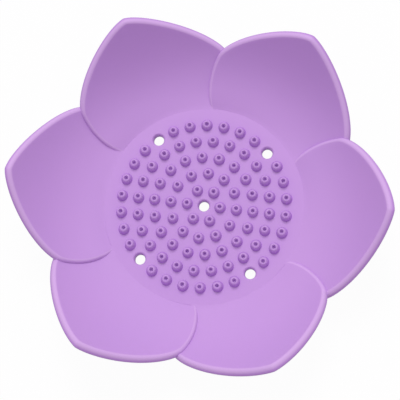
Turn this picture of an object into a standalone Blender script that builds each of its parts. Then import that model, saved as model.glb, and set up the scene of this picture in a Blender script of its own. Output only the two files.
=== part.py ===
# A silicone soap dish in the form of a six-petal lotus flower. Metres, +Z up, origin on the table under
# the centre of the floor, +X along the axis of petal 1.
#
# The dish is one soft moulding on the real product. Here its floor, petals and feet are separate solids,
# divided along the creases of the moulding, with a fine gap between neighbours.

import math

import bmesh
import bpy
from mathutils import Matrix, Vector

# Walls and clearances
FLOOR_THICKNESS = 0.0026
PETAL_WALL = 0.0026
RIM_ROUNDING = 0.0010
SEAM_GAP = 0.0003

# Floor
FLOOR_RADIUS = 0.0317
FLOOR_SEGMENTS = 72

# Petals: the plan outline of the upper edge, then how the bowl rises
PETAL_COUNT = 6
PETAL_TIP_RADIUS = 0.0565
PETAL_WIDEST_RADIUS = 0.0394
PETAL_HALF_WIDTH = 0.0244
PETAL_ROOT_DEPTH = 0.0197
PETAL_SHOULDER_POWER = 1.45
PETAL_TIP_POWER = 1.47
PETAL_TIP_LEAN = 0.0010
PETAL_TIP_RISE = 0.0250
PETAL_ROOT_SLOPE = 0.38
PETAL_BOWL_POWER = 2.7
PETAL_STEP = 0.0013
PETAL_STEP_RUN_IN = 0.0060
PETAL_COLUMNS = 16
PETAL_ROWS = 8

# Drainage nubs, in rings of 6, 12, 18 ... around the middle
NUB_PITCH = 0.0052
NUB_FIELD_MARGIN = 0.0040
NUB_HEIGHT = 0.0019
NUB_BASE_RADIUS = 0.00160
NUB_TOP_RADIUS = 0.00122
NUB_TOP_ROUNDING = 0.00035
NUB_DIMPLE_RADIUS = 0.00060
NUB_DIMPLE_DEPTH = 0.00110
NUB_ROOT_OVERLAP = 0.0005
NUB_SIDES = 8

# Drain holes with a flared mouth: one in the middle, four in the outer ring of nubs
DRAIN_RADIUS = 0.00165
DRAIN_MOUTH_RADIUS = 0.00235
DRAIN_MOUTH_DEPTH = 0.0011
DRAIN_ANGLES = (48, 132, 228, 312)
DRAIN_SEGMENTS = 20
CUTTER_REACH = 0.001

# Feet
FOOT_COUNT = 6
FOOT_RADIUS = 0.0035
FOOT_HEIGHT = 0.0015
FOOT_EDGE_MARGIN = 0.0012
FOOT_ROUNDING = 0.0003
FOOT_SEGMENTS = 20

# Levels and angles that follow from the sizes above
FLOOR_UNDERSIDE = FOOT_HEIGHT
FLOOR_TOP = FLOOR_UNDERSIDE + FLOOR_THICKNESS
PETAL_ANGLE = math.tau / PETAL_COUNT
PETAL_ROOT_RADIUS = FLOOR_RADIUS + SEAM_GAP
NUB_RING_COUNT = int((FLOOR_RADIUS - NUB_FIELD_MARGIN) / NUB_PITCH)
FOOT_CIRCLE_RADIUS = FLOOR_RADIUS - FOOT_EDGE_MARGIN - FOOT_RADIUS

# Colours of the silicone
PETAL_COLOUR = (0.55, 0.31, 0.72, 1.0)
FLOOR_COLOUR = (0.58, 0.34, 0.75, 1.0)
FOOT_COLOUR = (0.50, 0.28, 0.67, 1.0)
SILICONE_ROUGHNESS = 0.5


def clear_scene():
    for obj in list(bpy.data.objects):
        bpy.data.objects.remove(obj, do_unlink=True)


def new_collection(name):
    collection = bpy.data.collections.new(name)
    bpy.context.scene.collection.children.link(collection)
    return collection


def silicone(name, colour):
    material = bpy.data.materials.new(name)
    material.use_nodes = True
    shader = material.node_tree.nodes["Principled BSDF"]
    shader.inputs["Base Color"].default_value = colour
    shader.inputs["Roughness"].default_value = SILICONE_ROUGHNESS
    shader.inputs["Metallic"].default_value = 0.0
    return material


def new_object(name, mesh, collection, material=None):
    obj = bpy.data.objects.new(name, mesh)
    collection.objects.link(obj)
    if material:
        mesh.materials.append(material)
    return obj


def mesh_from(name, shape):
    mesh = bpy.data.meshes.new(name)
    shape.to_mesh(mesh)
    shape.free()
    return mesh


def hide_helper(obj):
    obj.hide_render = True
    obj.display_type = "WIRE"


def join_or_cut(target, tool, operation):
    boolean = target.modifiers.new(tool.name, "BOOLEAN")
    boolean.object = tool
    boolean.operation = operation
    boolean.solver = "EXACT"


def bisect(value, low, high):
    """The place between low and high where value changes sign."""
    rising = value(low) < 0
    for _ in range(50):
        middle = (low + high) / 2
        if (value(middle) < 0) == rising:
            low = middle
        else:
            high = middle
    return (low + high) / 2


# Petal outline


def outline(turn):
    """A point of the petal's upper edge in plan. Turn 0 is the tip, and pi the hidden inner end."""
    across = math.copysign(abs(math.sin(turn)), turn)
    along = math.cos(turn)
    if along < 0:
        return Vector((PETAL_WIDEST_RADIUS + PETAL_ROOT_DEPTH * along, PETAL_HALF_WIDTH * across))
    ahead = along ** (2 / PETAL_SHOULDER_POWER)
    reach = PETAL_TIP_RADIUS - PETAL_WIDEST_RADIUS
    width = PETAL_HALF_WIDTH * math.copysign(abs(across) ** (2 / PETAL_TIP_POWER), across)
    return Vector((PETAL_WIDEST_RADIUS + reach * ahead, width + PETAL_TIP_LEAN * ahead))


def outline_excess(point):
    """Below zero inside the petal's outline, above zero outside it."""
    ahead = (point.x - PETAL_WIDEST_RADIUS) / (PETAL_TIP_RADIUS - PETAL_WIDEST_RADIUS)
    if ahead < 0:
        behind = (PETAL_WIDEST_RADIUS - point.x) / PETAL_ROOT_DEPTH
        return math.hypot(behind, point.y / PETAL_HALF_WIDTH) - 1
    across = abs(point.y - PETAL_TIP_LEAN * ahead) / PETAL_HALF_WIDTH
    return ahead**PETAL_SHOULDER_POWER + across**PETAL_TIP_POWER - 1


def neighbour_edge(turn):
    """The edge of the petal that lies over this one's clockwise side, moved clear of it by the gap."""
    step = 1e-4
    tangent = (outline(turn + step) - outline(turn - step)).normalized()
    outward = Vector((tangent.y, -tangent.x))
    if outward.y < 0:
        outward = -outward
    point = outline(turn) + outward * SEAM_GAP
    point.rotate(Matrix.Rotation(-PETAL_ANGLE, 2))
    return point


def polar_angle(point):
    return math.atan2(point.y, point.x)


def mix(first, second, share):
    return first * (1 - share) + second * share


class PetalPlan:
    """The four sides of one petal in plan, and the patch between them."""

    def __init__(self):
        inner_end = math.pi * 0.98
        notch = PETAL_ANGLE / 2
        self.notch_turn = bisect(lambda t: polar_angle(outline(t)) - notch, 0.1, math.pi / 2)
        self.root_turn = bisect(
            lambda t: outline(t).length - PETAL_ROOT_RADIUS, self.notch_turn, inner_end
        )
        self.left_notch = bisect(
            lambda t: outline_excess(neighbour_edge(t)), self.notch_turn / 2, math.pi / 2
        )
        self.left_root = bisect(
            lambda t: neighbour_edge(t).length - PETAL_ROOT_RADIUS, self.left_notch, inner_end
        )
        corner = polar_angle(neighbour_edge(self.left_notch))
        self.rim_turn = bisect(lambda t: polar_angle(outline(-t)) - corner, 0.1, math.pi / 2)

    def left(self, share):
        return neighbour_edge(mix(self.left_root, self.left_notch, share))

    def right(self, share):
        return outline(mix(self.root_turn, self.notch_turn, share))

    def rim(self, share):
        if share < 0.5:
            return outline(-self.rim_turn * (1 - 2 * share))
        return outline(self.notch_turn * (2 * share - 1))

    def root(self, share):
        angle = mix(polar_angle(self.left(0)), polar_angle(self.right(0)), share)
        return Vector((math.cos(angle), math.sin(angle))) * PETAL_ROOT_RADIUS

    def point(self, across, outwards):
        """A point of the patch, blended from its four sides."""
        sides = mix(self.left(outwards), self.right(outwards), across)
        ends = mix(self.root(across), self.rim(across), outwards)
        corners = mix(
            mix(self.root(0), self.root(1), across), mix(self.rim(0), self.rim(1), across), outwards
        )
        return sides + ends - corners


def petal_surface(point):
    """The petal's upper face over a point of its plan: a bowl that steepens outwards. The petal stands
    proud of the bowl towards its free side and lies under it towards its covered side."""
    run = max(point.length - FLOOR_RADIUS, 0)
    tip_run = PETAL_TIP_RADIUS - FLOOR_RADIUS
    curl = (PETAL_TIP_RISE - PETAL_ROOT_SLOPE * tip_run) / tip_run**PETAL_BOWL_POWER
    height = FLOOR_TOP + PETAL_ROOT_SLOPE * run + curl * run**PETAL_BOWL_POWER
    slope = PETAL_ROOT_SLOPE + PETAL_BOWL_POWER * curl * run ** (PETAL_BOWL_POWER - 1)
    outwards = point.normalized()
    normal = Vector((-slope * outwards.x, -slope * outwards.y, 1)).normalized()
    to_go = 1 - min(run / PETAL_STEP_RUN_IN, 1)
    lift = PETAL_STEP * (1 - to_go**2) * polar_angle(point) / PETAL_ANGLE
    return Vector((point.x, point.y, height)) + normal * lift


def petal_sheet(plan):
    """The upper face of a petal, with its free edge marked for rounding."""
    sheet = bmesh.new()
    rounding = sheet.edges.layers.float.new("bevel_weight_edge")
    grid = []
    for row in range(PETAL_ROWS + 1):
        line = []
        for column in range(PETAL_COLUMNS + 1):
            point = plan.point(column / PETAL_COLUMNS, row / PETAL_ROWS)
            line.append(sheet.verts.new(petal_surface(point)))
        grid.append(line)
    for inner, outer in zip(grid, grid[1:]):
        for left in range(PETAL_COLUMNS):
            sheet.faces.new((inner[left], outer[left], outer[left + 1], inner[left + 1]))
    free_edge = [line[-1] for line in grid[:-1]] + list(reversed(grid[-1]))
    for first, second in zip(free_edge, free_edge[1:]):
        sheet.edges.get((first, second))[rounding] = 1.0
    return mesh_from("petal", sheet)


def make_petals(collection):
    mesh = petal_sheet(PetalPlan())
    mesh.materials.append(silicone("petal silicone", PETAL_COLOUR))
    mesh.shade_smooth()
    for number in range(PETAL_COUNT):
        petal = new_object(f"petal_{number + 1}", mesh, collection)
        petal.rotation_euler.z = number * PETAL_ANGLE
        wall = petal.modifiers.new("wall", "SOLIDIFY")
        wall.thickness = PETAL_WALL
        wall.offset = -1
        wall.use_even_offset = True
        rim = petal.modifiers.new("rim", "BEVEL")
        rim.limit_method = "WEIGHT"
        rim.width = RIM_ROUNDING
        rim.segments = 2


# Floor with its nubs and drain holes


def ring_places():
    """Where each nub stands and where each drain hole goes, in plan."""
    nubs, drains = [], [Vector((0, 0))]
    for ring in range(1, NUB_RING_COUNT + 1):
        count = 6 * ring
        holes = set()
        if ring == NUB_RING_COUNT:
            holes = {round(angle / 360 * count) % count for angle in DRAIN_ANGLES}
        for index in range(count):
            angle = math.tau * index / count
            place = Vector((math.cos(angle), math.sin(angle))) * ring * NUB_PITCH
            (drains if index in holes else nubs).append(place)
    return nubs, drains


def nub_profile():
    """Radius and height, from the middle of the dimple over the top and down the side to the axis. The
    side runs on straight into the floor, so that none of its corners lies in the floor's surface."""
    spread_per_drop = (NUB_BASE_RADIUS - NUB_TOP_RADIUS) / (NUB_HEIGHT - NUB_TOP_ROUNDING)
    return (
        (0, NUB_HEIGHT - NUB_DIMPLE_DEPTH),
        (NUB_DIMPLE_RADIUS, NUB_HEIGHT),
        (NUB_TOP_RADIUS - NUB_TOP_ROUNDING, NUB_HEIGHT),
        (NUB_TOP_RADIUS, NUB_HEIGHT - NUB_TOP_ROUNDING),
        (NUB_BASE_RADIUS + NUB_ROOT_OVERLAP * spread_per_drop, -NUB_ROOT_OVERLAP),
        (0, -NUB_ROOT_OVERLAP),
    )


def drain_profile():
    """Radius and height of the cutter, from above its flared mouth down to below the floor."""
    flare = (DRAIN_MOUTH_RADIUS - DRAIN_RADIUS) / DRAIN_MOUTH_DEPTH
    return (
        (0, FLOOR_TOP + CUTTER_REACH),
        (DRAIN_MOUTH_RADIUS + flare * CUTTER_REACH, FLOOR_TOP + CUTTER_REACH),
        (DRAIN_RADIUS, FLOOR_TOP - DRAIN_MOUTH_DEPTH),
        (DRAIN_RADIUS, FLOOR_UNDERSIDE - CUTTER_REACH),
        (0, FLOOR_UNDERSIDE - CUTTER_REACH),
    )


def turned_mesh(name, profile, steps):
    """A profile turned about Z with a Screw modifier, as a plain mesh."""
    guide = bpy.data.meshes.new(name)
    guide.from_pydata([(x, 0, z) for x, z in profile], [(i, i + 1) for i in range(len(profile) - 1)], [])
    obj = bpy.data.objects.new(name, guide)
    bpy.context.scene.collection.objects.link(obj)
    screw = obj.modifiers.new("turn", "SCREW")
    screw.steps = screw.render_steps = steps
    screw.use_merge_vertices = True
    screw.merge_threshold = 1e-5
    graph = bpy.context.evaluated_depsgraph_get()
    mesh = bpy.data.meshes.new_from_object(obj.evaluated_get(graph))
    bpy.data.objects.remove(obj, do_unlink=True)
    return mesh


def spread(mesh, places, height):
    """One mesh with a copy at each place."""
    shape = bmesh.new()
    for place in places:
        start = len(shape.verts)
        shape.from_mesh(mesh)
        shape.verts.ensure_lookup_table()
        bmesh.ops.translate(shape, verts=shape.verts[start:], vec=(place.x, place.y, height))
    return mesh_from(mesh.name, shape)


def disc_mesh(name, lower_radius, upper_radius, thickness, segments):
    """A round disc or cone frustum, centred on its own middle."""
    shape = bmesh.new()
    bmesh.ops.create_cone(
        shape,
        cap_ends=True,
        segments=segments,
        radius1=lower_radius,
        radius2=upper_radius,
        depth=thickness,
    )
    return mesh_from(name, shape)


def make_drain_tray(collection, helpers):
    """The floor's edge flares down and out, square to the foot of each petal."""
    flare = FLOOR_THICKNESS * PETAL_ROOT_SLOPE
    disc = disc_mesh("floor", FLOOR_RADIUS + flare, FLOOR_RADIUS, FLOOR_THICKNESS, FLOOR_SEGMENTS)
    disc.transform(Matrix.Translation((0, 0, (FLOOR_TOP + FLOOR_UNDERSIDE) / 2)))
    tray = new_object("drain_tray", disc, collection, silicone("floor silicone", FLOOR_COLOUR))

    nub_places, drain_places = ring_places()
    nub = turned_mesh("nub", nub_profile(), NUB_SIDES)
    nubs = new_object("nubs", spread(nub, nub_places, FLOOR_TOP), helpers)

    drain = turned_mesh("drain", drain_profile(), DRAIN_SEGMENTS)
    drains = new_object("drains", spread(drain, drain_places, 0), helpers)

    for helper, operation in ((nubs, "UNION"), (drains, "DIFFERENCE")):
        hide_helper(helper)
        join_or_cut(tray, helper, operation)


# Feet


def make_feet(collection):
    thickness = FOOT_HEIGHT - SEAM_GAP
    mesh = disc_mesh("foot", FOOT_RADIUS, FOOT_RADIUS, thickness, FOOT_SEGMENTS)
    mesh.materials.append(silicone("foot silicone", FOOT_COLOUR))
    for number in range(FOOT_COUNT):
        angle = math.tau * (number + 0.5) / FOOT_COUNT
        foot = new_object(f"foot_{number + 1}", mesh, collection)
        foot.location = (
            FOOT_CIRCLE_RADIUS * math.cos(angle),
            FOOT_CIRCLE_RADIUS * math.sin(angle),
            thickness / 2,
        )
        edge = foot.modifiers.new("edge", "BEVEL")
        edge.width = FOOT_ROUNDING
        edge.segments = 1
        edge.limit_method = "ANGLE"


def main():
    clear_scene()
    dish = new_collection("Lotus soap dish")
    helpers = new_collection("Cutters")
    make_drain_tray(dish, helpers)
    make_petals(dish)
    make_feet(dish)


main()
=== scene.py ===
import math

import bmesh
import bpy
from mathutils import Matrix, Vector


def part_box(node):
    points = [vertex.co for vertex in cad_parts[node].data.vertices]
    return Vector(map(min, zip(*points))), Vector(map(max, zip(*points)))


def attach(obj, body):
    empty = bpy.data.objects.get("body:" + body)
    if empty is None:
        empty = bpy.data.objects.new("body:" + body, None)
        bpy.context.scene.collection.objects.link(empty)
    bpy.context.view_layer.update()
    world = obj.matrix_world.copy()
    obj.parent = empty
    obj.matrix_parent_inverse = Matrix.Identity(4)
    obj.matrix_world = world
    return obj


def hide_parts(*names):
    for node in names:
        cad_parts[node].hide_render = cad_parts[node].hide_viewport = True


# Lotus soap dish in lilac silicone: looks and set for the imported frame. Metres, +Z up, +X along petal 1.

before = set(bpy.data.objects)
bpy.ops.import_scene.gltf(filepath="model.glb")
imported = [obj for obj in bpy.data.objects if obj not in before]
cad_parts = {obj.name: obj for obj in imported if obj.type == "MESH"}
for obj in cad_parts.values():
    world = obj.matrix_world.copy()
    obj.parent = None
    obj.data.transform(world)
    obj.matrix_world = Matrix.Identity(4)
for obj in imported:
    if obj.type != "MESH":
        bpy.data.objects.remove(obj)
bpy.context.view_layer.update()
petalNodes = sorted(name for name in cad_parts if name.startswith("petal_"))
footNodes = sorted(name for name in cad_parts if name.startswith("foot_"))
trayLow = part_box("drain_tray")[0]

tray = {
    "radius": 0.0317,
    "thickness": 0.0026,
    "underside": trayLow.z,
    "outlineSteps": 192,
    "edgeRounding": 0.00025,
    "roundingSteps": 3,
    "drainRadius": 0.00165,
    "mouthRadius": 0.00235,
    "mouthDepth": 0.0011,
    "mouthStart": math.radians(9),  # where the bell mouth leaves the floor's top
    "mouthSteps": 9,
    "drainChamfer": 0.0002,
    "cutterReach": 0.0003,  # how far the cutter stands out of the floor
    "drainRing": 5,
    "drainAngle": math.radians(48),  # from the petal 1 axis, mirrored into four places
    "drainSteps": 48,
}
floorTop = tray["underside"] + tray["thickness"]


# Nodes and shader maths


class Value:  # a number socket that takes part in Python expressions
    def __init__(self, maker, socket):
        self.maker = maker
        self.socket = socket

    def maths(self, operation, *operands):
        node = self.maker.node("ShaderNodeMath", {"operation": operation}, dict(enumerate(operands)))
        return Value(self.maker, node.outputs[0])

    def __add__(self, other):
        return self.maths("ADD", self, other)

    def __sub__(self, other):
        return self.maths("SUBTRACT", self, other)

    def __mul__(self, other):
        return self.maths("MULTIPLY", self, other)

    def __truediv__(self, other):
        return self.maths("DIVIDE", self, other)

    def __radd__(self, other):
        return self.maths("ADD", other, self)

    def __rsub__(self, other):
        return self.maths("SUBTRACT", other, self)

    def __rmul__(self, other):
        return self.maths("MULTIPLY", other, self)

    def __rtruediv__(self, other):
        return self.maths("DIVIDE", other, self)

    def apply(self, operation, *others):
        return self.maths(operation, self, *others)


class NodeMaker:  # fills one node tree
    def __init__(self, tree):
        self.tree = tree
        tree.nodes.clear()

    def node(self, kind, settings=None, inputs=None):
        node = self.tree.nodes.new(kind)
        for name, value in (settings or {}).items():
            setattr(node, name, value)
        for key, value in (inputs or {}).items():
            self.feed(node.inputs[key], value)
        return node

    def feed(self, socket, value):
        if isinstance(value, Value):
            value = value.socket
        if isinstance(value, bpy.types.NodeSocket):
            self.tree.links.new(value, socket)
        else:
            socket.default_value = value

    def value(self, socket):
        return Value(self, socket)


# Silicone


def siliconeMaterial(name, look):
    material = bpy.data.materials.new(name)
    material.use_nodes = True
    maker = NodeMaker(material.node_tree)
    place = maker.node("ShaderNodeTexCoord").outputs["Object"]

    def noise(scale, detail):
        inputs = {"Vector": place, "Scale": scale, "Detail": detail}
        return maker.value(maker.node("ShaderNodeTexNoise", {}, inputs).outputs["Fac"])

    cloud = noise(look["cloudScale"], look["cloudDetail"])
    grain = noise(look["grainScale"], look["grainDetail"])
    # A Mix node's colours are its inputs 6 and 7, and its output 2
    tint = maker.node(
        "ShaderNodeMix",
        {"data_type": "RGBA"},
        {"Factor": cloud, 6: look["colour"] + (1,), 7: look["cloudColour"] + (1,)},
    ).outputs[2]
    # Painted shade and painted highlight: the shading attribute darkens the colour towards the painted shade
    # colour, and pales it below 0
    paintedShading = maker.node("ShaderNodeAttribute", {"attribute_name": "paintedShading"}).outputs["Fac"]
    colour = maker.node(
        "ShaderNodeMix",
        {"data_type": "RGBA", "clamp_factor": False},
        {"Factor": paintedShading, 6: tint, 7: look["paintedShadeColour"] + (1,)},
    ).outputs[2]
    roughness = look["roughness"] + (grain - 0.5) * look["roughnessSpread"]
    bump = maker.node(
        "ShaderNodeBump", {}, {"Strength": look["grainBump"], "Distance": look["grainDepth"], "Height": grain}
    )
    shader = maker.node(
        "ShaderNodeBsdfPrincipled",
        {},
        {
            "Base Color": colour,
            "Roughness": roughness,
            "Normal": bump.outputs[0],
            "IOR": look["ior"],
            "Specular IOR Level": look["specular"],
            "Sheen Weight": look["sheen"],
            "Sheen Roughness": look["sheenRoughness"],
        },
    )
    maker.node("ShaderNodeOutputMaterial", {}, {"Surface": shader.outputs[0]})
    return material


silicone = {
    "colour": (0.552, 0.338, 0.710),
    "cloudColour": (0.574, 0.346, 0.710),
    "paintedShadeColour": (0.44, 0.21, 0.63),  # painted shade where the shading attribute is 1; below 0 the colour grows paler, a painted highlight
    "cloudScale": 45.0,
    "cloudDetail": 3.0,
    "grainScale": 2400.0,
    "grainDetail": 4.0,
    "grainBump": 0.25,
    "grainDepth": 0.00005,
    "roughness": 0.48,
    "roughnessSpread": 0.20,
    "ior": 1.42,
    "specular": 0.12,
    "sheen": 0.12,
    "sheenRoughness": 0.4,
}
siliconeSkin = siliconeMaterial("lilac silicone", silicone)


# Mesh helpers


sharpFrom = math.radians(38)


def addPiece(name, mesh, nodes):
    piece = bpy.data.objects.new(name, mesh)
    bpy.context.scene.collection.objects.link(piece)
    if not mesh.materials:
        mesh.materials.append(siliconeSkin)
    mesh.shade_smooth()
    mesh.set_sharp_from_angle(angle=sharpFrom)
    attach(piece, "root")
    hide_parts(*nodes)
    return piece


def evaluatedMesh(obj):
    graph = bpy.context.evaluated_depsgraph_get()
    mesh = bpy.data.meshes.new_from_object(obj.evaluated_get(graph))
    bpy.data.objects.remove(obj, do_unlink=True)
    return mesh


def helper(name, mesh):
    obj = bpy.data.objects.new(name, mesh)
    bpy.context.scene.collection.objects.link(obj)
    return obj


def bmeshToMesh(name, shape):
    bmesh.ops.recalc_face_normals(shape, faces=shape.faces[:])
    mesh = bpy.data.meshes.new(name)
    shape.to_mesh(mesh)
    shape.free()
    return mesh


def bisect(value, low, high, halvings=50):  # where value changes sign
    rising = value(low) < 0
    for _ in range(halvings):
        middle = (low + high) / 2
        if (value(middle) < 0) == rising:
            low = middle
        else:
            high = middle
    return (low + high) / 2


def mix(first, second, share):
    return first * (1 - share) + second * share


# Petals: each lies over its neighbour with its counterclockwise side, and tucks under with the other

petal = {
    "count": len(petalNodes),
    "tipRadius": 0.0565,
    "widestRadius": 0.0394,
    "halfWidth": 0.0244,
    "rootDepth": 0.0197,
    "shoulder": 1.45,
    "tipSharpness": 1.47,
    "tipLean": 0.00099,
    "tipRise": 0.0250,
    "rootSlope": 0.36,
    "bowlPower": 2.7,
    "rootFillet": 0.0005,
    "rootReach": 1.2,  # how far the sheet starts inside the floor's edge, in fillets
    "rootSink": 0.00001,
    "step": 0.0013,
    "stepRunIn": 0.0060,
    "tuck": 0.0016,
    "wall": 0.0026,
    "rimRounding": 0.0010,
    "rimStrip": 0.0018,
    "rimPaintedHighlight": 0.55,  # painted highlight on the rim's upper rounding and painted shade on its lower rounding, in the shading attribute
    "rimPaintedShade": 0.45,
    "roundingSteps": 6,
    "columns": 56,
    "rows": 34,
}
petalAngle = math.tau / petal["count"]


def outline(turn):  # the upper edge in plan: turn 0 is the tip, pi the hidden inner end
    across = math.copysign(abs(math.sin(turn)), turn)
    along = math.cos(turn)
    if along < 0:
        return Vector((petal["widestRadius"] + petal["rootDepth"] * along, petal["halfWidth"] * across))
    ahead = along ** (2 / petal["shoulder"])
    reach = petal["tipRadius"] - petal["widestRadius"]
    width = petal["halfWidth"] * math.copysign(abs(across) ** (2 / petal["tipSharpness"]), across)
    return Vector((petal["widestRadius"] + reach * ahead, width + petal["tipLean"] * ahead))


def outlineExcess(point):  # below zero inside the outline
    ahead = (point.x - petal["widestRadius"]) / (petal["tipRadius"] - petal["widestRadius"])
    if ahead < 0:
        behind = (petal["widestRadius"] - point.x) / petal["rootDepth"]
        return math.hypot(behind, point.y / petal["halfWidth"]) - 1
    across = abs(point.y - petal["tipLean"] * ahead) / petal["halfWidth"]
    return ahead ** petal["shoulder"] + across ** petal["tipSharpness"] - 1


def neighbourEdge(turn):  # the line under the overlapping neighbour where this petal's sheet ends
    step = 1e-4
    tangent = (outline(turn + step) - outline(turn - step)).normalized()
    outward = Vector((tangent.y, -tangent.x))
    if outward.y < 0:
        outward = -outward
    point = outline(turn) - outward * petal["tuck"]
    point.rotate(Matrix.Rotation(-petalAngle, 2))
    return point


def polarAngle(point):
    return math.atan2(point.y, point.x)


def petalSurface(place):  # the upper face and its normal over a point of the plan
    run = place.length - tray["radius"]
    tipRun = petal["tipRadius"] - tray["radius"]
    slope = petal["rootSlope"]
    power = petal["bowlPower"]
    curl = (petal["tipRise"] - slope * tipRun) / tipRun**power
    fillet = petal["rootFillet"]
    blended = min(max(run + fillet, 0), 2 * fillet)
    height = slope * (blended**2 / (4 * fillet) + max(run - fillet, 0)) + curl * max(run, 0) ** power
    steepness = slope * blended / (2 * fillet) + power * curl * max(run, 0) ** (power - 1)
    outwards = place.normalized()
    normal = Vector((-steepness * outwards.x, -steepness * outwards.y, 1)).normalized()
    toGo = 1 - min(max(run / petal["stepRunIn"], 0), 1)
    runIn = 1 - toGo * toGo
    lift = petal["step"] * runIn * polarAngle(place) / petalAngle
    base = Vector((place.x, place.y, floorTop - petal["rootSink"] + height))
    return base + normal * lift, normal


def wayIn(turn):  # the direction from the edge into the petal, along its surface
    step = 1e-3
    normal = petalSurface(outline(turn))[1]
    ahead = petalSurface(outline(turn + step))[0]
    behind = petalSurface(outline(turn - step))[0]
    inward = (ahead - behind).cross(normal).normalized()
    if inward.xy.dot(outline(turn) - Vector((petal["widestRadius"], 0))) > 0:
        inward = -inward
    return inward


def stripPlace(turn):  # where the rim strip meets the rest of the sheet, in plan
    return outline(turn) + wayIn(turn).xy * petal["rimStrip"]


def rimPoints(turn):  # from the start of the rounding on the upper face, round the rim, to its end below
    inward = wayIn(turn)
    wall, rounding = petal["wall"], petal["rimRounding"]
    start, normal = petalSurface(outline(turn) + inward.xy * rounding)
    outward = -(inward - normal * inward.dot(normal)).normalized()
    half = []
    for step in range(petal["roundingSteps"] + 1):
        angle = math.pi / 2 * step / petal["roundingSteps"]
        half.append((rounding * math.sin(angle), rounding * (1 - math.cos(angle))))
    profile = half + [(out, wall - depth) for out, depth in reversed(half)]
    return [start + outward * out - normal * depth for out, depth in profile]


class PetalPlan:  # the four sides of one sheet in plan, inside its rim strip, and the patch between them
    def __init__(self):
        nearTip = 0.1  # turns just past the tip, at the widest place and just short of the hidden inner end
        widest = math.pi / 2
        innerEnd = math.pi * 0.98
        rootRadius = tray["radius"] - petal["rootReach"] * petal["rootFillet"]
        notch = petalAngle / 2
        self.notchTurn = bisect(lambda t: polarAngle(outline(t)) - notch, nearTip, widest)
        self.rootTurn = bisect(lambda t: outline(t).length - rootRadius, self.notchTurn, innerEnd)
        self.leftNotch = bisect(lambda t: outlineExcess(neighbourEdge(t)), self.notchTurn / 2, widest)
        self.leftRoot = bisect(lambda t: neighbourEdge(t).length - rootRadius, self.leftNotch, innerEnd)
        corner = polarAngle(neighbourEdge(self.leftNotch))
        self.rimTurn = bisect(lambda t: polarAngle(outline(-t)) - corner, nearTip, widest)
        self.cornerShift = stripPlace(-self.rimTurn) - neighbourEdge(self.leftNotch)

    def rightTurn(self, share):
        return mix(self.rootTurn, self.notchTurn, share)

    def rimTurnAt(self, share):
        if share < 0.5:
            return -self.rimTurn * (1 - 2 * share)
        return self.notchTurn * (2 * share - 1)

    def left(self, share):  # close to the corner it bends away to meet the rim strip
        return neighbourEdge(mix(self.leftRoot, self.leftNotch, share)) + self.cornerShift * share**4

    def right(self, share):
        return stripPlace(self.rightTurn(share))

    def rim(self, share):
        return stripPlace(self.rimTurnAt(share))

    def root(self, share):
        start, end = self.left(0), self.right(0)
        angle = mix(polarAngle(start), polarAngle(end), share)
        return Vector((math.cos(angle), math.sin(angle))) * mix(start.length, end.length, share)

    def point(self, across, outwards):
        sides = mix(self.left(outwards), self.right(outwards), across)
        ends = mix(self.root(across), self.rim(across), outwards)
        innerCorners = mix(self.root(0), self.root(1), across)
        outerCorners = mix(self.rim(0), self.rim(1), across)
        return sides + ends - mix(innerCorners, outerCorners, outwards)


def petalShape(turn):
    plan = PetalPlan()
    columns, rows, wall = petal["columns"], petal["rows"], petal["wall"]
    shape = bmesh.new()
    paintedShading = shape.verts.layers.float.new("paintedShading")
    upper, lower = [], []
    for row in range(rows + 1):
        upper.append([])
        lower.append([])
        for column in range(columns + 1):
            point, normal = petalSurface(plan.point(column / columns, row / rows))
            upper[row].append(shape.verts.new(point))
            lower[row].append(shape.verts.new(point - normal * wall))
    for layer in (upper, lower):
        for inner, outer in zip(layer, layer[1:]):
            for left in range(columns):
                shape.faces.new((inner[left], outer[left], outer[left + 1], inner[left + 1]))

    # The rim strip follows the free side and then the rim, back to the covered corner
    path = [(upper[row][-1], lower[row][-1], plan.rightTurn(row / rows)) for row in range(rows)]
    for column in range(columns, -1, -1):
        path.append((upper[-1][column], lower[-1][column], plan.rimTurnAt(column / columns)))
    strips = []
    for top, bottom, edgeTurn in path:
        edge = [shape.verts.new(point) for point in rimPoints(edgeTurn)]
        strips.append([top] + edge + [bottom])
        # Painted highlight on the upper half of the rim's rounding, painted shade on the lower half
        for vertex in edge[1 : len(edge) // 2]:
            vertex[paintedShading] = -petal["rimPaintedHighlight"]
        for vertex in edge[len(edge) // 2 : -1]:
            vertex[paintedShading] = petal["rimPaintedShade"]
    for first, second in zip(strips, strips[1:]):
        for start in range(len(first) - 1):
            shape.faces.new((first[start], second[start], second[start + 1], first[start + 1]))
    for end in (strips[0], strips[-1]):
        shape.faces.new(end)

    # Plain walls close the two hidden sides
    hidden = [(line[0], under[0]) for line, under in zip(reversed(upper), reversed(lower))]
    hidden += list(zip(upper[0], lower[0]))[1:]
    for (topA, lowA), (topB, lowB) in zip(hidden, hidden[1:]):
        shape.faces.new((topA, topB, lowB, lowA))
    shape.transform(Matrix.Rotation(turn, 4, "Z"))
    return bmeshToMesh("petal", shape)


for number, node in enumerate(petalNodes):
    addPiece(f"{node}_silicone", petalShape(number * petalAngle), [node])
print("petals made:", len(petalNodes))


# Floor of the dish with its drain holes


def discMesh(name, lowerRadius, upperRadius, bottom, top, steps, places=((0, 0),)):
    shape = bmesh.new()
    for x, y in places:
        bmesh.ops.create_cone(
            shape,
            cap_ends=True,
            segments=steps,
            radius1=lowerRadius,
            radius2=upperRadius,
            depth=top - bottom,
            matrix=Matrix.Translation((x, y, (top + bottom) / 2)),
        )
    return bmeshToMesh(name, shape)


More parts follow.
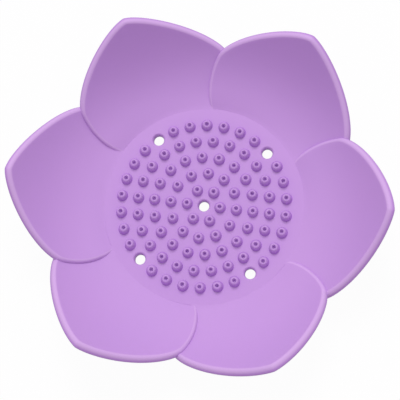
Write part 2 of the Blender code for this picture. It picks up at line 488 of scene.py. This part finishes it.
def turnedMesh(name, profile, steps):
    shape = bmesh.new()
    rings = []
    for radius, height in profile:
        if radius == 0:
            rings.append([shape.verts.new((0, 0, height))])
            continue
        angles = [math.tau * step / steps for step in range(steps)]
        rings.append([shape.verts.new((radius * math.cos(a), radius * math.sin(a), height)) for a in angles])
    for first, second in zip(rings, rings[1:]):
        for step in range(steps):
            after = (step + 1) % steps
            corners = {first[step % len(first)], first[after % len(first)]}
            face = [first[step % len(first)], second[step % len(second)]]
            if len(second) > 1:
                face.append(second[after])
            if len(corners) > 1:
                face.append(first[after])
            shape.faces.new(face)
    return bmeshToMesh(name, shape)


def drainPlaces(pitch):
    ring = tray["drainRing"] * pitch
    x, y = ring * math.cos(tray["drainAngle"]), ring * math.sin(tray["drainAngle"])
    return [(0, 0), (x, y), (-x, y), (-x, -y), (x, -y)]


def drainProfile():  # (radius, height) of the cutter from above the floor to below it, with a bell mouth
    narrow, depth = tray["drainRadius"], tray["mouthDepth"]
    flaredBy = tray["mouthRadius"] - narrow
    mouth = []
    for step in range(tray["mouthSteps"] + 1):
        angle = mix(tray["mouthStart"], math.pi / 2, step / tray["mouthSteps"])
        mouth.append((narrow + flaredBy * (1 - math.sin(angle)), floorTop - depth * (1 - math.cos(angle))))
    (outer, upper), (inner, lower) = mouth[:2]
    chamfer, out = tray["drainChamfer"], tray["cutterReach"]
    above, below = floorTop + out, tray["underside"] - out
    reach = outer + (outer - inner) / (upper - lower) * (above - upper)
    end = [(narrow, tray["underside"] + chamfer), (narrow + chamfer + out, below), (0, below)]
    return [(0, above), (reach, above)] + mouth + end


def copies(mesh, places):
    shape = bmesh.new()
    for x, y in places:
        start = len(shape.verts)
        shape.from_mesh(mesh)
        shape.verts.ensure_lookup_table()
        bmesh.ops.translate(shape, verts=shape.verts[start:], vec=(x, y, 0))
    return bmeshToMesh(mesh.name, shape)


roundFrom = math.radians(50)


def roundEdges(obj, width, steps):
    bevel = obj.modifiers.new("rounding", "BEVEL")
    bevel.width = width
    bevel.segments = steps
    bevel.limit_method = "ANGLE"
    bevel.angle_limit = roundFrom


nub = {
    "pitch": 0.0052,
    "rings": 5,
    "height": 0.0022,
    "baseRadius": 0.00170,
    "topRadius": 0.00140,
    "domeReach": 0.00065,
    "domeDrop": 0.00120,
    "domeSteps": 6,
    "dimpleRadius": 0.00060,
    "dimpleDepth": 0.00150,
    "dimpleCurve": ((0, 1), (0.55, 0.85), (0.9, 0.3), (1.1, 0.05)),  # shares of its radius and depth
    # Painted shade on the nubs' sides: none above the upper height, full below the lower one
    "paintedShadeTop": 0.0014,
    "paintedShadeBottom": 0.0002,
    "sideBend": (0.75, 0.3),  # share of the way out to the base, and of the height
    "sideStart": 1.2,  # in dimple radii: the painted shade is only outside of this
    "footFlare": 0.00015,
    "flareBend": (0.3, 0.35),  # where the flare bends, in flares out and up
    "footSink": 0.0004,
    "sides": 20,
    "jitter": 0.03,
    "lean": math.radians(2.0),
    "seed": 11,
}

lowerRadius = tray["radius"] + tray["thickness"] * petal["rootSlope"]  # square to the petals' roots
floorShape = discMesh(
    "floor", lowerRadius, tray["radius"], tray["underside"], floorTop, tray["outlineSteps"]
)
floorDisc = helper("floor", floorShape)
roundEdges(floorDisc, tray["edgeRounding"], tray["roundingSteps"])
drain = turnedMesh("drain", drainProfile(), tray["drainSteps"])
drains = helper("drains", copies(drain, drainPlaces(nub["pitch"])))
cut = floorDisc.modifiers.new("drains", "BOOLEAN")
cut.object = drains
cut.operation = "DIFFERENCE"
floorMesh = evaluatedMesh(floorDisc)
bpy.data.objects.remove(drains, do_unlink=True)
addPiece("tray_floor", floorMesh, ["drain_tray"])
levelFrom = 0.999
for face in floorMesh.polygons:  # the level faces stay flat
    face.use_smooth = abs(face.normal.z) < levelFrom
print("floor made")


# Nubs: one turned shape, set out in rings by geometry nodes


def nubProfile():  # (radius, height) from the middle of the dimple to below the floor
    height, base, flareOut = nub["height"], nub["baseRadius"], nub["footFlare"]
    across, deep = nub["dimpleRadius"], nub["dimpleDepth"]
    profile = [(across * out, height - deep * down) for out, down in nub["dimpleCurve"]]
    for step in range(nub["domeSteps"] + 1):
        angle = math.pi / 2 * step / nub["domeSteps"]
        out = nub["topRadius"] - nub["domeReach"] * (1 - math.sin(angle))
        profile.append((out, height - nub["domeDrop"] * (1 - math.cos(angle))))
    bendOut, bendUp = nub["sideBend"]
    profile += [(mix(nub["topRadius"], base, bendOut), height * bendUp), (base, flareOut)]
    bendOut, bendUp = nub["flareBend"]
    profile += [(base + flareOut * bendOut, flareOut * bendUp), (base + flareOut, 0)]
    return profile + [(base + flareOut, -nub["footSink"]), (0, -nub["footSink"])]


def ringTree():
    tree = bpy.data.node_groups.new("nub rings", "GeometryNodeTree")
    interface = tree.interface
    interface.new_socket("Geometry", in_out="INPUT", socket_type="NodeSocketGeometry")
    for name, kind in (
        ("Pitch", "Float"),
        ("Rings", "Int"),
        ("Drain Ring", "Int"),
        ("Drain Angle", "Float"),
        ("Jitter", "Float"),
        ("Lean", "Float"),
        ("Seed", "Int"),
        ("Material", "Material"),
    ):
        interface.new_socket(name, in_out="INPUT", socket_type=f"NodeSocket{kind}")
    interface.new_socket("Geometry", in_out="OUTPUT", socket_type="NodeSocketGeometry")
    maker = NodeMaker(tree)
    inlet = maker.node("NodeGroupInput").outputs
    pitch, rings = maker.value(inlet["Pitch"]), maker.value(inlet["Rings"])

    # Ring k holds 6k places, so place i is in the ring whose places run from 3k(k-1) to 3k(k+1)
    points = maker.node("GeometryNodePoints", {}, {"Count": rings * (rings + 1) * 3}).outputs[0]
    index = maker.value(maker.node("GeometryNodeInputIndex").outputs[0])
    overHalf = 0.5001  # a little over a half, so that rounding puts no ring's last place in the next ring
    ring = (((index * 4 + 4) / 3 + 1).apply("SQRT") / 2 - overHalf).apply("CEIL")
    angle = (index - ring * (ring - 1) * 3) / ring * (math.tau / 6)
    x, y = angle.apply("COSINE") * ring * pitch, angle.apply("SINE") * ring * pitch
    spot = maker.node("ShaderNodeCombineXYZ", {}, {"X": x, "Y": y}).outputs[0]
    placed = maker.node("GeometryNodeSetPosition", {}, {"Geometry": points, "Position": spot}).outputs[0]

    drainRing = maker.value(inlet["Drain Ring"])
    drainX = maker.value(inlet["Drain Angle"]).apply("COSINE") * drainRing * pitch
    offLine = (x.apply("ABSOLUTE") - drainX).apply("ABSOLUTE")
    inRing = 1 - (ring - drainRing).apply("ABSOLUTE").apply("MINIMUM", 1)
    nearLine = 0.1  # in pitches
    isDrain = offLine.apply("LESS_THAN", pitch * nearLine) * inRing
    kept = maker.node("GeometryNodeDeleteGeometry", {}, {"Geometry": placed, "Selection": isDrain}).outputs[0]

    def scatter(low, high, shift):
        settings = {"data_type": "FLOAT_VECTOR"}
        seed = maker.value(inlet["Seed"]) + shift
        return maker.node("FunctionNodeRandomValue", settings, {0: low, 1: high, "Seed": seed}).outputs[0]

    def scaled(vector, factor):
        inputs = {0: vector, "Scale": factor}
        return maker.node("ShaderNodeVectorMath", {"operation": "SCALE"}, inputs).outputs[0]

    lean = scaled(scatter((-1, -1, -1), (1, 1, 1), 1), inlet["Lean"])
    turn = maker.node("FunctionNodeEulerToRotation", {}, {0: lean}).outputs[0]
    growth = scaled(scatter((-1, -1, -1), (1, 1, 0), 2), inlet["Jitter"])
    size = maker.node("ShaderNodeVectorMath", {"operation": "ADD"}, {0: growth, 1: (1, 1, 1)}).outputs[0]
    nubCopies = maker.node(
        "GeometryNodeInstanceOnPoints",
        {},
        {"Points": kept, "Instance": inlet["Geometry"], "Rotation": turn, "Scale": size},
    ).outputs[0]
    real = maker.node("GeometryNodeRealizeInstances", {}, {"Geometry": nubCopies}).outputs[0]
    finish = {"Geometry": real, "Material": inlet["Material"]}
    dressed = maker.node("GeometryNodeSetMaterial", {}, finish).outputs[0]
    maker.node("NodeGroupOutput", {}, {"Geometry": dressed})
    return tree


def nubShape():  # its sides get painted shade, deeper towards the floor
    mesh = turnedMesh("nub", nubProfile(), nub["sides"])
    paintedShading = mesh.attributes.new("paintedShading", "FLOAT", "POINT")
    for vertex, entry in zip(mesh.vertices, paintedShading.data):
        # Painted shade grows from the upper height down to the lower one, on the sides only
        share = (nub["paintedShadeTop"] - vertex.co.z) / (nub["paintedShadeTop"] - nub["paintedShadeBottom"])
        isSide = vertex.co.xy.length > nub["dimpleRadius"] * nub["sideStart"]
        entry.value = min(max(share, 0), 1) if isSide else 0
    return mesh


nubField = helper("nubs", nubShape())
ringModifier = nubField.modifiers.new("rings", "NODES")
ringModifier.node_group = ringTree()
entries = ringModifier.node_group.interface.items_tree
sockets = {entry.name: entry.identifier for entry in entries if entry.in_out == "INPUT"}
for name, value in (
    ("Pitch", nub["pitch"]),
    ("Rings", nub["rings"]),
    ("Drain Ring", tray["drainRing"]),
    ("Drain Angle", tray["drainAngle"]),
    ("Jitter", nub["jitter"]),
    ("Lean", nub["lean"]),
    ("Seed", nub["seed"]),
    ("Material", siliconeSkin),
):
    ringModifier[sockets[name]] = value
nubMesh = evaluatedMesh(nubField)
nubMesh.transform(Matrix.Translation((0, 0, floorTop)))
addPiece("tray_nubs", nubMesh, ["drain_tray"])
print("nubs made:", len(nubMesh.vertices), "points")


# Feet

foot = {"rounding": 0.0004, "roundingSteps": 4, "steps": 64, "rootOverlap": 0.0006}

for node in footNodes:
    low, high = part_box(node)
    middle, radius = (low + high) / 2, (high.x - low.x) / 2
    top = tray["underside"] + foot["rootOverlap"]
    disc = helper(node, discMesh(node, radius, radius, low.z, top, foot["steps"], [(middle.x, middle.y)]))
    roundEdges(disc, foot["rounding"], foot["roundingSteps"])
    addPiece(f"{node}_silicone", evaluatedMesh(disc), [node])
print("feet made:", len(footNodes))


# Table, light and camera

stageSet = {
    "tableSize": 3.0,
    "tableColour": (0.86, 0.86, 0.86),
    "tableGlow": 0.96,  # how much of the table's white is steady, so that the dish's shadow stays faint
    "bounceGlow": 0.3,
    "bounceShare": 0.45,  # how much of what the table throws back at the dish is that steady glow
    "worldStrength": 0.62,
    "worldColour": (1.0, 0.90, 1.01),
    "keyAzimuth": math.radians(97.9),
    "keyElevation": math.radians(58),
    "keyDistance": 2.0,
    "keySize": 0.9,
    "keyPower": 20.0,
}


def whiteToCamera(maker, seen, other):  # the camera, mirrors and glass see white, and diffuse light the rest
    path = maker.node("ShaderNodeLightPath").outputs
    direct = maker.value(path["Is Camera Ray"])
    for name in ("Is Glossy Ray", "Is Transmission Ray"):
        direct = direct.apply("MAXIMUM", maker.value(path[name]))
    return maker.node("ShaderNodeMixShader", {}, {0: direct, 1: other, 2: seen}).outputs[0]


def makeTable():
    shape = bmesh.new()
    bmesh.ops.create_grid(shape, x_segments=1, y_segments=1, size=stageSet["tableSize"] / 2)
    table = helper("table", bmeshToMesh("table", shape))
    material = bpy.data.materials.new("table white")
    material.use_nodes = True
    maker = NodeMaker(material.node_tree)
    plain = maker.node("ShaderNodeBsdfDiffuse", {}, {"Color": stageSet["tableColour"] + (1,)}).outputs[0]
    fill = maker.node("ShaderNodeEmission", {}, {"Strength": stageSet["bounceGlow"]}).outputs[0]
    bounce = maker.node("ShaderNodeMixShader", {}, {0: stageSet["bounceShare"], 1: plain, 2: fill}).outputs[0]
    glow = maker.node("ShaderNodeEmission", {}, {"Strength": 1.0}).outputs[0]
    seen = maker.node("ShaderNodeMixShader", {}, {0: stageSet["tableGlow"], 1: plain, 2: glow}).outputs[0]
    clear = maker.node("ShaderNodeBsdfTransparent").outputs[0]
    under = maker.node("ShaderNodeNewGeometry").outputs["Backfacing"]
    sides = {0: under, 1: whiteToCamera(maker, seen, bounce), 2: clear}
    faced = maker.node("ShaderNodeMixShader", {}, sides).outputs[0]
    maker.node("ShaderNodeOutputMaterial", {}, {"Surface": faced})
    table.data.materials.append(material)


def makeWorld():
    world = bpy.data.worlds.new("studio")
    bpy.context.scene.world = world
    world.use_nodes = True
    maker = NodeMaker(world.node_tree)
    white = maker.node("ShaderNodeBackground", {}, {"Color": (1, 1, 1, 1), "Strength": 1.0}).outputs[0]
    soft = maker.node(
        "ShaderNodeBackground",
        {},
        {"Color": stageSet["worldColour"] + (1,), "Strength": stageSet["worldStrength"]},
    ).outputs[0]
    maker.node("ShaderNodeOutputWorld", {}, {"Surface": whiteToCamera(maker, white, soft)})


def makeKey():
    data = bpy.data.lights.new("key", "AREA")
    data.shape = "DISK"
    data.size = stageSet["keySize"]
    data.energy = stageSet["keyPower"]
    lamp = bpy.data.objects.new("key", data)
    bpy.context.scene.collection.objects.link(lamp)
    azimuth, elevation = stageSet["keyAzimuth"], stageSet["keyElevation"]
    flat = math.cos(elevation)
    away = Vector((flat * math.cos(azimuth), flat * math.sin(azimuth), math.sin(elevation)))
    lamp.location = away * stageSet["keyDistance"]
    lamp.rotation_euler = away.to_track_quat("Z", "Y").to_euler()


view = {
    "turn": math.radians(-7.872),
    "tilt": math.radians(-13.126),
    "tiltAxis": math.radians(23.714),
    "distance": 0.41666,
    "lens": 119.69,
    "shiftX": -0.00917,
    "shiftY": 0.01429,
    "clipStart": 0.01,
}


def makeCamera():
    data = bpy.data.cameras.new("camera")
    data.lens = view["lens"]
    data.shift_x = view["shiftX"]
    data.shift_y = view["shiftY"]
    data.clip_start = view["clipStart"]
    camera = bpy.data.objects.new("camera", data)
    bpy.context.scene.collection.objects.link(camera)
    axis = Vector((math.cos(view["tiltAxis"]), math.sin(view["tiltAxis"]), 0))
    tilted = Matrix.Rotation(view["tilt"], 4, axis) @ Matrix.Rotation(view["turn"], 4, "Z")
    middle = Matrix.Translation((0, 0, floorTop))
    camera.matrix_world = middle @ tilted.inverted() @ Matrix.Translation((0, 0, view["distance"]))
    bpy.context.scene.camera = camera


makeTable()
makeWorld()
makeKey()
makeCamera()
bpy.context.scene.view_settings.view_transform = "Standard"
print("set made")
